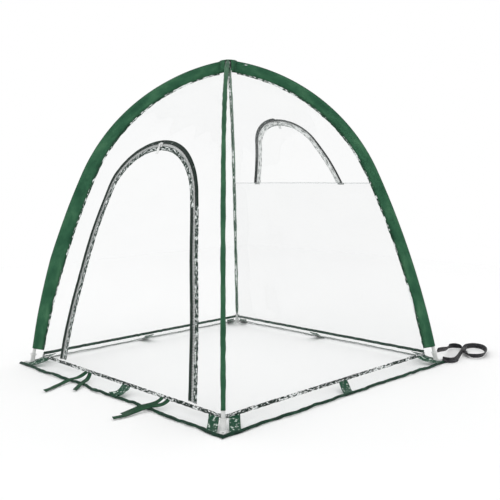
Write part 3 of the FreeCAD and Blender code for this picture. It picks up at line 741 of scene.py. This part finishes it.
# By side and hand: the width of the tape on the wall, its tones below and above the change, and the
# tones of the tape on the flap
ZIP_TAPES = {
    ("front", 1): (11.5 * MM, (LIGHT, DARK), (DARK, LIGHT)),
    ("front", -1): (11.5 * MM, (DARK, DARK), (LIGHT, LIGHT)),
    ("back", 1): (9 * MM, (DARK, DARK), (GREY, GREY)),
    ("back", -1): (5 * MM, (DARK, DARK), (GREY, GREY)),
}


def zip_band(side, sign, role, width, tones):
    """One side of a zip on one half: a tape along the outline, with its teeth and stitches."""
    opening = OPENINGS[side]
    outward = 1 if role == "frame" else -1
    near = outward * ZIP_GAP
    far = outward * (ZIP_GAP + width)
    lift = ZIP_GAP if role == "flap" else 0.0
    top = TAPE_LIFT + TAPE_THICK
    build = Build()
    places = np.linspace(near, far, 4)
    lines = [opening.half(p, ZIP_STEP, lift) for p in places]
    last = min(len(line) for line in lines) - 1
    run = running_length(lines[0])
    columns = [(top, k) for k in range(4)] + [(TAPE_LIFT, k) for k in reversed(range(4))]

    def spot(i, column):
        layer, k = column
        x, s = lines[k][i]
        ripple = 0.35 * MM * wave(run[i] * 60, k * 1.3, SEEDS[side] + sign)
        return on_wall(sign * x, s, side, layer + ripple), (float(run[i]), float(places[k]))

    rings, uvs = table(range(last + 1), columns, spot)
    change = last if tones[0] == tones[1] else math.floor(ZIP_SWAP * last) + 1
    for start, stop, tone in ((0, change, tones[0]), (change, last, tones[1])):
        if stop > start:
            build.loft(rings[start:stop + 1], uvs[start:stop + 1], tone)
    for spread, pitch, sizes, mark in (
        (near + outward * TOOTH_SET, TOOTH_PITCH, TOOTH_SIZE, TEETH),
        ((near + far) / 2, STITCH_PITCH, STITCH, STITCHES),
        (far * 0.86 + near * 0.14, STITCH_PITCH, STITCH, STITCHES),
    ):
        # The wall's teeth stand halfway between the flap's
        shift = 0.5 if role == "frame" and mark == TEETH else 0.0
        line = resample(opening.half(spread, ZIP_STEP, lift), pitch)
        for a, b in zip(line[:-1], line[1:]):
            x, s = a + (b - a) * shift
            first, second = (np.array(on_wall(sign * p[0], p[1], side, top)) for p in (a, b))
            ahead = (second - first) / np.linalg.norm(second - first)
            normal = np.array((0, *wall_frame(s)[2]))
            centre = on_wall(sign * x, s, side, top)
            build.block(centre, ahead, np.cross(normal, ahead), normal, sizes, mark)
    return build.object(f"zip_{side}_{role}_{dict(HANDS)[sign]}", ZIP_COATS, SIDES[side])


def make_zips():
    for (side, sign), (width, wall_tones, flap_tones) in ZIP_TAPES.items():
        kind = FLAP_BODY[side]
        frame_tape = zip_band(side, sign, "frame", width, wall_tones)
        fold_half(frame_tape)
        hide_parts(f"{kind}_zip_frame_tape")
        flap_tape = zip_band(side, sign, "flap", FLAP_TAPE, flap_tones)
        flap_moves(flap_tape, side)
        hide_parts(f"{kind}_zip_flap_tape")


make_zips()


# ---- Weld line across the back wall, and the seam at the foot of each wall ----
SEAM_PLACE = {"front": 3.6 * MM, "right": 3.6 * MM, "back": 7.5 * MM, "left": 7.5 * MM}
# The front and right seams carry painted highlights; the back and left seams are plain binding
SEAM_COAT = {"front": SEAM, "right": SEAM, "back": BINDING, "left": BINDING}
SEAM_WIDTH = 7.5 * MM
SEAM_LIFT = 0.8 * MM
SEAM_PUCKER = 0.8 * MM
WELD_FILM = film("weld_clear", (0.9, 0.91, 0.91), 0.1, 0.3)
WELD_WIDTH = 2.5 * MM
WELD_LIFT = -0.4 * MM
WELD_PUCKER = 0.1 * MM
TAB_SIZE = (19 * MM, 5 * MM, 1.2 * MM)


def seam_strip(name, side, sign, place, reach, width, coat, lift, pucker):
    """A band across a half wall at a place up it, from its middle line out to reach."""
    build = Build()
    centres, across, out = [], [], []
    _, _, normal, up = wall_frame(place)
    for x in np.linspace(0, reach, max(2, round(reach / (4 * MM))) + 1):
        rise = lift + pucker * wave(x * 140, place * 9, SEEDS[side] + 2)
        sway = pucker * wave(x * 90, 5, SEEDS[side])
        centres.append(on_wall(sign * x, place + sway, side, rise))
        across.append((0, *up))
        out.append((0, *normal))
    strip(build, centres, across, out, width, 1.0 * MM, 5)
    made = build.object(name, [coat], SIDES[side])
    fold_half(made)
    return made


def make_seams():
    for side, place in SEAM_PLACE.items():
        reach = half_width(place) - 4 * MM
        for sign, hand in HANDS:
            made = seam_strip(
                f"base_seam_{side}_{hand}", side, sign, place, reach, SEAM_WIDTH, SEAM_COAT[side],
                SEAM_LIFT, SEAM_PUCKER,
            )
            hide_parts(f"base_seam_tape_{side}")
    reach = half_width(WELD_PLACE) - 1 * MM
    x, s = WINDOW.half(0.0, ZIP_STEP)[0]
    _, _, normal, up = wall_frame(s)
    for sign, hand in HANDS:
        made = seam_strip(
            f"weld_{hand}", "back", sign, WELD_PLACE, reach, WELD_WIDTH, WELD_FILM, WELD_LIFT, WELD_PUCKER
        )
        build = Build()
        spot = on_wall(sign * x, s - 2 * MM, "back", 1.6 * MM)
        build.block(spot, (1, 0, 0), (0, *up), (0, *normal), TAB_SIZE)
        tab = build.object(f"window_zip_end_{hand}", [ZIP_GREY], SIDES["back"])
        fold_half(tab)


make_seams()


# ---- Sleeves ----
SLEEVE_LOW = 38 * MM
SLEEVE_REACH = 12 * MM
# Across the band in mm, from its outer edge to its seam, with half its thickness there
SLEEVE_RING = [
    (13.3, 0.0), (12.9, 1.9), (11.9, 3.5), (10.2, 4.7), (7.8, 5.3), (5.0, 5.2), (2.0, 4.6), (-1.5, 3.7),
    (-5.0, 2.8), (-8.5, 1.9), (-11.2, 1.2), (-13.0, 0.9), (-13.8, 0.0),
]
# How full each sleeve is, as a share of that thickness
SLEEVE_FULL = {"front_right": 0.92, "back_right": 1.0, "back_left": 0.85, "front_left": 1.0}
# How much wider in mm the front left sleeve hangs, by height, as it isn't pulled tight over its pole
LOOSE_HEIGHTS = (0.04, 0.12, 0.26, 0.40, 0.55, 0.68)
LOOSE_WIDTHS = (0.0, 4.0, 8.5, 6.5, 3.0, 0.0)
WELT_OFFSET = -14.6
WELT_SIDES = 8
ROW_OFFSET = -10.4
ROW_STITCH = (2.9 * MM, 0.7 * MM, 0.7 * MM)


def sleeve_lean(length, offset, seed):
    """How far in mm the band leans to one side, about its pole."""
    return 1.0 * wave(length * 9, 0.5, seed + 3) * (offset - 7.5) / 14


def sleeve_point(points, normals, i, offset, side_shift):
    reach = points[i][0] + normals[i][0] * offset
    height = points[i][1] + normals[i][1] * offset
    return (reach, side_shift, height)


def make_sleeve(corner, angle):
    """A pole's cloth sleeve, with folds across it. Returns its line and its seed for its trim."""
    seed = angle * 0.13 + 2.0
    points, normals, run = rib_curve(0.0, SLEEVE_LOW, SLEEVE_REACH, 4 * MM)
    loose_widths = LOOSE_WIDTHS if corner == "front_left" else [0] * len(LOOSE_WIDTHS)

    def spot(i, column):
        offset, half = column
        length = run[i]
        face = 1 if half >= 0 else -1
        fold = wave(length * 22 + offset * 0.03, offset * 0.06, seed)
        crease = wave(length * 60 + offset * 0.11, face * 3.0, seed + 6)
        thick = 0.0
        if half:
            full = half * SLEEVE_FULL[corner]
            thick = full * (1 + 0.16 * fold + 0.1 * crease) + 0.35 * crease * face
        inner = 0.7 * wave(length * 75, 1.7, seed + 8) * smooth((-offset - 6) / 7)
        loose = float(np.interp(points[i][1], LOOSE_HEIGHTS, loose_widths))
        wider = loose * smooth((offset + 2) / 14)
        shift = (thick + sleeve_lean(length, offset, seed)) * MM
        point = sleeve_point(points, normals, i, (offset + inner + wider) * MM, shift)
        return point, (float(length), offset * MM)

    build = Build()
    outline = SLEEVE_RING + [(o, -h) for o, h in SLEEVE_RING[-2:0:-1]]
    build.loft(*table(range(len(run)), outline, spot))
    # The front right sleeve's cloth has no painted edge shade; the other sleeves' cloth has
    coat = CAP_GREEN if corner == "front_right" else GREEN
    made = build.object(f"sleeve_cloth_{corner}", [coat], angle)
    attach(made, f"pole_{corner}")
    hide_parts(f"sleeve_{corner}")
    return points, normals, run, seed


def make_sleeve_trim(corner, angle, points, normals, run, seed):
    """Puckered film in the seam along the sleeve's inner edge, and a row of stitches on each face."""

    def spot(i, k):
        length = run[i]
        depth = 2.0 + 1.3 * wave(length * 95, 0.2, seed + 1)
        bulge = 1.5 + 0.9 * wave(length * 130, 2.2, seed + 2)
        sway = 0.9 * wave(length * 70, 4.1, seed + 5)
        turn = math.tau * k / WELT_SIDES
        offset = (WELT_OFFSET + sway * 0.6 + depth * math.cos(turn)) * MM
        shift = (bulge * math.sin(turn) + sway * 0.5) * MM
        return sleeve_point(points, normals, i, offset, shift), (float(length), 1.2 * MM * k)

    build = Build()
    build.loft(*table(range(len(run) - 3), range(WELT_SIDES), spot))
    for place in np.arange(6 * MM, run[-1] - 12 * MM, 4.6 * MM):
        i = int(np.searchsorted(run, place))
        normal = np.array((normals[i][0], 0, normals[i][1]))
        ahead = np.array((-normals[i][1], 0, normals[i][0]))
        for face in (1, -1):
            shift = (face * 1.75 + sleeve_lean(float(run[i]), ROW_OFFSET, seed)) * MM
            centre = sleeve_point(points, normals, i, ROW_OFFSET * MM, shift)
            build.block(centre, ahead, normal, (0, 1, 0), ROW_STITCH, 1)
    made = build.object(f"sleeve_seam_{corner}", [WELT, THREAD], angle)
    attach(made, f"pole_{corner}")


for corner_name, corner_angle in CORNERS.items():
    make_sleeve_trim(corner_name, corner_angle, *make_sleeve(corner_name, corner_angle))


# ---- Apex cover ----
# Reach and height in mm of the cloth over the hub, from its middle to its lower edge
APEX_PROFILE = [
    (0.5, 738.3), (5.0, 737.6), (10.0, 736.8), (15.0, 735.9), (18.0, 735.3), (19.2, 734.2), (19.6, 731.8),
    (19.6, 728.0), (19.4, 723.0), (19.2, 718.0), (18.9, 713.5), (18.5, 710.6),
]
APEX_REACH = 20
APEX_SIDES = 96
# Half the width of the gaps that the poles leave by, and how high these go
POLE_SLOT = 7.2 * MM
SLOT_TOP = 733.6 * MM


def in_pole_slot(corners):
    """Whether a face lies where a pole leaves the cover, which is open below its rim there."""
    x, y, z = np.mean(corners, axis=0)
    from_pole = min(abs(x - y), abs(x + y)) * FLAT
    return z < SLOT_TOP and from_pole < POLE_SLOT


def make_apex():
    """Cloth gathered over the hub, whose lower edge meets the sleeves' seams."""

    def spot(row, k):
        reach, height = row
        angle = math.tau * k / APEX_SIDES
        x, y = math.cos(angle), math.sin(angle)
        pleat = wave(x * 5, y * 5, 21 + height * 0.03) * reach / APEX_REACH
        corner = abs(math.cos(2 * (angle - math.pi / 4))) ** 8
        far = (reach + 0.7 * pleat + 1.5 * corner * reach / APEX_REACH) * MM
        return (far * x, far * y, (height + 0.5 * pleat) * MM), (far * x, far * y)

    build = Build()
    build.grid(*table(APEX_PROFILE, range(APEX_SIDES), spot), close=True)
    build.faces.append(tuple(range(APEX_SIDES)))
    build.faces = [f for f in build.faces if not in_pole_slot([build.points[i] for i in f])]
    build.marks = [0] * len(build.faces)
    made = build.object("apex_cover", [CAP_GREEN])
    shell = made.modifiers.new("cloth", "SOLIDIFY")
    shell.thickness = 0.7 * MM
    shell.offset = 0
    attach(made, "cover")
    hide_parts("apex_cap")


make_apex()


# ---- Skirt, hem and patches ----
SKIRT_IN = -float(WALL_Y[0])
SKIRT_OUT = 0.3725
HEM_MIDDLE = 0.3755
HEM_SEED = {"front": 31.0, "right": 37.0, "back": 43.0, "left": 47.0}
HEM_SWAY = {"front": 1.2, "right": 0.9, "back": 0.6, "left": 0.6}
HEM_LEAN = {"front": 0.7, "right": 0.7, "back": 0.12, "left": 0.12}
HEM_STAND = 2.4 * MM
FOOT_AT = 0.35545
FOOT_HOLE = 9.5 * MM


def hem_wave(x, side):
    """How far out and up the hem stands at x; it lies flat and straight near a corner."""
    seed = HEM_SEED[side]
    calm = smooth((0.372 - abs(x)) / 0.06) * HEM_SWAY[side]
    out = 6.5 * MM * wave(x * 13, 0.3, seed) + 2.4 * MM * wave(x * 38, 1.9, seed)
    up = 3.4 * MM * abs(wave(x * 17, 3.3, seed + 3)) + 1.6 * MM * abs(wave(x * 45, 5.1, seed))
    return calm * out, calm * up


def skirt_point(x, y, side, lift=0.0):
    """The skirt falls from the wall's foot and runs out to the hem."""
    t = (abs(y) - SKIRT_IN) / (SKIRT_OUT - SKIRT_IN)
    out, up = hem_wave(x, side)
    fall = max(1 - t, 0.0) ** 1.7
    ripple = 0.8 * MM * wave(x * 24, y * 40, HEM_SEED[side] + 1) * math.sin(math.pi * min(max(t, 0), 1))
    height = 1.1 * MM + (WALL_LOW - 1.1 * MM) * fall + (up + HEM_STAND * HEM_LEAN[side]) * t**3 + ripple
    return (x, y - out * t * t, height + lift)


def make_skirts():
    """Each side's film on the ground in two halves, cut away round the pole feet, with its hem."""
    step = 8 * MM
    turns = np.linspace(math.radians(45), math.radians(225), 13)
    hole = [(FOOT_AT + FOOT_HOLE * math.cos(a), FOOT_AT + FOOT_HOLE * math.sin(a)) for a in turns]
    lines = [
        [(0, SKIRT_IN), (SKIRT_IN, SKIRT_IN)],
        [(SKIRT_IN, SKIRT_IN), hole[-1]],
        hole[::-1],
        [hole[0], (SKIRT_OUT, SKIRT_OUT)],
        [(SKIRT_OUT, SKIRT_OUT), (0, SKIRT_OUT)],
        [(0, SKIRT_OUT), (0, SKIRT_IN)],
    ]
    sizes = (step, step, 3 * MM, step, step, step)
    loop = np.concatenate([resample(line, s)[:-1] for line, s in zip(lines, sizes)])
    flat, faces, _ = triangles(loop, [], step)
    for side in SIDES:
        for sign, hand in HANDS:
            build = Build()
            for x, y in flat:
                build.points.append(skirt_point(sign * x, -y, side))
                build.uvs.append((sign * x, y))
            for face in faces:
                build.faces.append(tuple(face[::-1] if sign > 0 else face))
                build.marks.append(0)
            made = build.object(f"skirt_film_{side}_{hand}", [SKIRT_FILM], SIDES[side])
            fold_half(made)
            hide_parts(f"skirt_{side}")
            hem = make_hem(side, sign, hand)


def make_hem(side, sign, hand):
    """A folded binding along the skirt's outer edge."""
    build = Build()
    centres, across, out, widths = [], [], [], []
    for x in np.linspace(0, HEM_MIDDLE + 2.5 * MM, 96):
        sway, rise = hem_wave(sign * x, side)
        lean = HEM_LEAN[side] * (1 + 0.7 * wave(x * 30 * sign, 7.7, HEM_SEED[side]))
        stand = 1.4 * MM + 3.0 * MM * math.sin(lean)
        centres.append((sign * x, -HEM_MIDDLE - sway, stand + rise))
        across.append((0, -math.cos(lean), -math.sin(lean)))
        out.append((0, -math.sin(lean), math.cos(lean)))
        widths.append((6.6 + 1.6 * wave(x * 42 * sign, 2.7, HEM_SEED[side])) * MM)
    strip(build, centres, across, out, widths, 1.8 * MM, 5)
    for i in range(1, len(centres) - 2):
        up = -np.array(across[i])
        centre = np.array(centres[i]) + up * 2.2 * MM + np.array(out[i]) * 1.0 * MM
        build.block(centre, (1, 0, 0), up, out[i], (2.4 * MM, 0.6 * MM, 0.6 * MM), 1)
    made = build.object(f"hem_{side}_{hand}", [BINDING, THREAD], SIDES[side])
    fold_half(made)
    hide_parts(f"hem_tape_{side}")
    return made


def make_patch(name, side, middle, width, curl, skew):
    """A woven patch on the skirt, from under the seam to the hem, puckered and lifting at its edges."""

    def spot(t, k):
        narrow = 1 - curl * 0.35 * math.sin(math.pi * t) ** 2
        swing = curl * 9 * MM * math.sin(math.pi * t * 0.9) * (k + 0.5)
        x = middle + skew * t + width * k * narrow + swing
        y = -(SKIRT_IN + 0.5 * MM + (SKIRT_OUT - SKIRT_IN + 1.5 * MM) * t)
        pucker = 0.9 * MM * wave(x * 95, t * 4.5, SEEDS[side] + 5) + 0.4 * MM * wave(x * 260, t * 12, 3)
        edge = (2 * abs(k)) ** 3 * (0.8 + 4 * curl * t) * MM
        return skirt_point(x, y, side, 1.3 * MM + pucker + edge), (x, t * 0.04)

    build = Build()
    build.grid(*table(np.linspace(0, 1, 15), np.linspace(-0.5, 0.5, 13), spot))
    made = build.object(name, [PATCH], SIDES[side])
    made.data.flip_normals()
    shell = made.modifiers.new("cloth", "SOLIDIFY")
    shell.thickness = 0.7 * MM
    shell.offset = 0
    return made


# Where each side's middle patch lies, how far it leans, and the same for the corner patches
LOOP_SHIFT = {"front": 0.030, "right": 0.0, "back": 0.025, "left": 0.0}
PATCH_SKEW = {"front": 0.0, "right": -0.024, "back": 0.0, "left": 0.0}
LOOP_WIDTH = 0.028
CORNER_SHIFT = 0.3105
CORNER_WIDTH = 0.029
CORNER_SKEW = 0.033


def apply_modifiers(made):
    """Bakes an object's modifiers into its mesh."""
    graph = bpy.context.evaluated_depsgraph_get()
    mesh = bpy.data.meshes.new_from_object(made.evaluated_get(graph))
    made.modifiers.clear()
    made.data = mesh


def make_patches():
    for side in SIDES:
        curl = 1.0 if side == "front" else 0.0
        skew = PATCH_SKEW[side]
        middle = LOOP_SHIFT[side] - skew / 2
        made = make_patch(f"stake_patch_cloth_{side}", side, middle, LOOP_WIDTH, curl, skew)
        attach(made, "cover")
        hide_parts(f"stake_patch_{side}")
        for sign, hand in HANDS:
            name = f"corner_patch_cloth_{side}_{hand}"
            made = make_patch(name, side, sign * CORNER_SHIFT, CORNER_WIDTH, 0.0, sign * CORNER_SKEW)
            apply_modifiers(made)
            fold_half(made)
            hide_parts(f"corner_patch_{corner_of(side, sign)}")


make_skirts()
make_patches()


# ---- Ties and strap ----
# Points in mm that the tapes' lines are controlled by, from where each is sewn on
TIE_ROUTES = {
    "door_tie_left_long": [
        (-126, -339, 20), (-128, -347, 14), (-130, -362, 9), (-132, -376, 9), (-131, -390, 7),
        (-128, -405, 4.5), (-121, -424, 4), (-113, -441, 4), (-107, -458, 4),
    ],
    "door_tie_left_short": [
        (-112, -339, 20), (-106, -346, 13), (-99, -357, 9), (-91, -370, 9), (-83, -384, 7.5),
        (-75, -396, 4.5), (-66, -408, 4),
    ],
    "door_tie_right_short": [
        (156, -339, 20), (153, -346, 13), (148, -359, 9), (144, -374, 9), (141, -387, 7),
        (139, -401, 4.5), (141, -415, 4), (144, -430, 4),
    ],
    "door_tie_right_long": [
        (176, -339, 20), (173, -346, 13), (167, -357, 10), (161, -371, 11), (157, -387, 9.5),
        (155, -403, 6.5), (156, -421, 4.5), (155, -438, 4), (151, -456, 4),
    ],
}
STRAP_ROUTE = [
    (352, 365, 27), (349, 387, 25), (344, 409, 21), (336, 435, 16), (323, 465, 12), (309, 491, 9),
    (312, 513, 8), (333, 518, 7), (349, 501, 5), (365, 474, 4), (387, 450, 6), (403, 446, 7),
    (416, 460, 7), (415, 484, 7), (405, 509, 7), (391, 533, 7.5), (371, 550, 8), (350, 544, 9),
    (345, 521, 10), (353, 496, 12), (366, 455, 10), (383, 411, 7.5), (392, 387, 7), (388, 369, 7),
    (379, 361, 8.5), (371, 358, 9.5),
]
# The shares of the strap's length where its legs cross, and how far from these they lie flat
STRAP_CROSSINGS = (0.36, 0.76)
STRAP_FLAT = 0.035
# Width and thickness of each
TIE_SIZE = (9 * MM, 0.8 * MM)
STRAP_SIZE = (13 * MM, 1.3 * MM)


def route_line(name, route, step):
    """Even points along the smooth line that the route's points control."""
    curve = bpy.data.curves.new(name + "_route", "CURVE")
    curve.dimensions = "3D"
    curve.resolution_u = 24
    spline = curve.splines.new("NURBS")
    spline.points.add(len(route) - 1)
    for control, (x, y, z) in zip(spline.points, route):
        control.co = (x * MM, y * MM, z * MM, 1)
    spline.order_u = 3
    spline.use_endpoint_u = True
    holder = bpy.data.objects.new(name + "_route", curve)
    bpy.context.scene.collection.objects.link(holder)
    bpy.context.view_layer.update()
    graph = bpy.context.evaluated_depsgraph_get()
    mesh = bpy.data.meshes.new_from_object(holder.evaluated_get(graph))
    line = np.array([tuple(v.co) for v in mesh.vertices])
    bpy.data.objects.remove(holder)
    return resample(line, step)


def most_tilt(height, width, thick):
    """How far a tape at a height may turn before its lower edge would be in the ground."""
    return math.asin(min(1.0, max(0.0, (height - thick) / (width / 2))))


def make_tape(name, route, width, thick, coat, body, slot, far_end, tilt, seed):
    """A flat tape that lies along a route, turned about its own line by tilt(share, seed)."""
    line = route_line(name, route, 3 * MM)
    build = Build()
    across, out = [], []
    for i in range(len(line)):
        ahead = line[min(i + 1, len(line) - 1)] - line[max(i - 1, 0)]
        ahead = ahead / np.linalg.norm(ahead)
        level_way = np.cross(ahead, (0, 0, 1))
        level_way = level_way / np.linalg.norm(level_way)
        out_way = np.cross(level_way, ahead)
        turn = min(tilt(i / (len(line) - 1), seed), most_tilt(line[i][2], width, thick))
        across.append(level_way * math.cos(turn) + out_way * math.sin(turn))
        out.append(out_way * math.cos(turn) - level_way * math.sin(turn))
    strip(build, line, across, out, width, thick, 7)
    made = build.object(name + "_tape", [coat])
    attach(made, body)
    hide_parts(name)
    return made


def tie_tilt(t, seed):
    return 0.55 - 0.25 * t + 0.3 * wave(t * 5, 0.4, seed)


def strap_tilt(t, seed):
    """The strap stands on its edge, and lies flat where it crosses itself."""
    away = min(abs(t - place) for place in STRAP_CROSSINGS)
    return (1.3 + 0.3 * wave(t * 9, 0.7, seed)) * smooth(away / STRAP_FLAT - 0.3)


for tie_index, (tie_name, tie_route) in enumerate(TIE_ROUTES.items()):
    make_tape(
        tie_name, tie_route, *TIE_SIZE, TIE_GREEN, "cover", "hem_green", "bare", tie_tilt, tie_index * 3.7
    )
make_tape(
    "storage_strap", STRAP_ROUTE, *STRAP_SIZE, WEBBING, "pole_back_right", "strap_black", "object",
    strap_tilt, 5.5,
)


# ---- Stage and light ----
def make_stage():
    build = Build()
    half = 2.2
    rows = [[(x * half, y * half, 0) for x in (-1, 1)] for y in (-1, 1)]
    build.grid(rows, [[(0, 0), (1, 0)]] * 2)
    ground, _, _ = plain_material("floor_white", (0.955, 0.955, 0.955), 0.95)
    floor = build.object("floor", [ground])
    floor.location.z = -0.2 * MM
    world = bpy.data.worlds.new("studio")
    world.use_nodes = True
    world.node_tree.nodes["Background"].inputs["Color"].default_value = (1, 1, 1, 1)
    world.node_tree.nodes["Background"].inputs["Strength"].default_value = 1.0
    bpy.context.scene.world = world
    for name, place, size, power in (
        ("key", (1.6, -2.6, 2.6), 2.0, 7.5),
        ("fill", (-2.6, -1.2, 1.8), 2.2, 2.5),
        ("top", (0.0, 0.6, 3.2), 2.5, 5),
    ):
        data = bpy.data.lights.new(name, "AREA")
        data.size = size
        data.energy = power
        lamp = bpy.data.objects.new(name, data)
        lamp.location = place
        aim = Vector((0, 0, 0.3)) - Vector(place)
        lamp.rotation_euler = aim.to_track_quat("-Z", "Y").to_euler()
        bpy.context.scene.collection.objects.link(lamp)


make_stage()
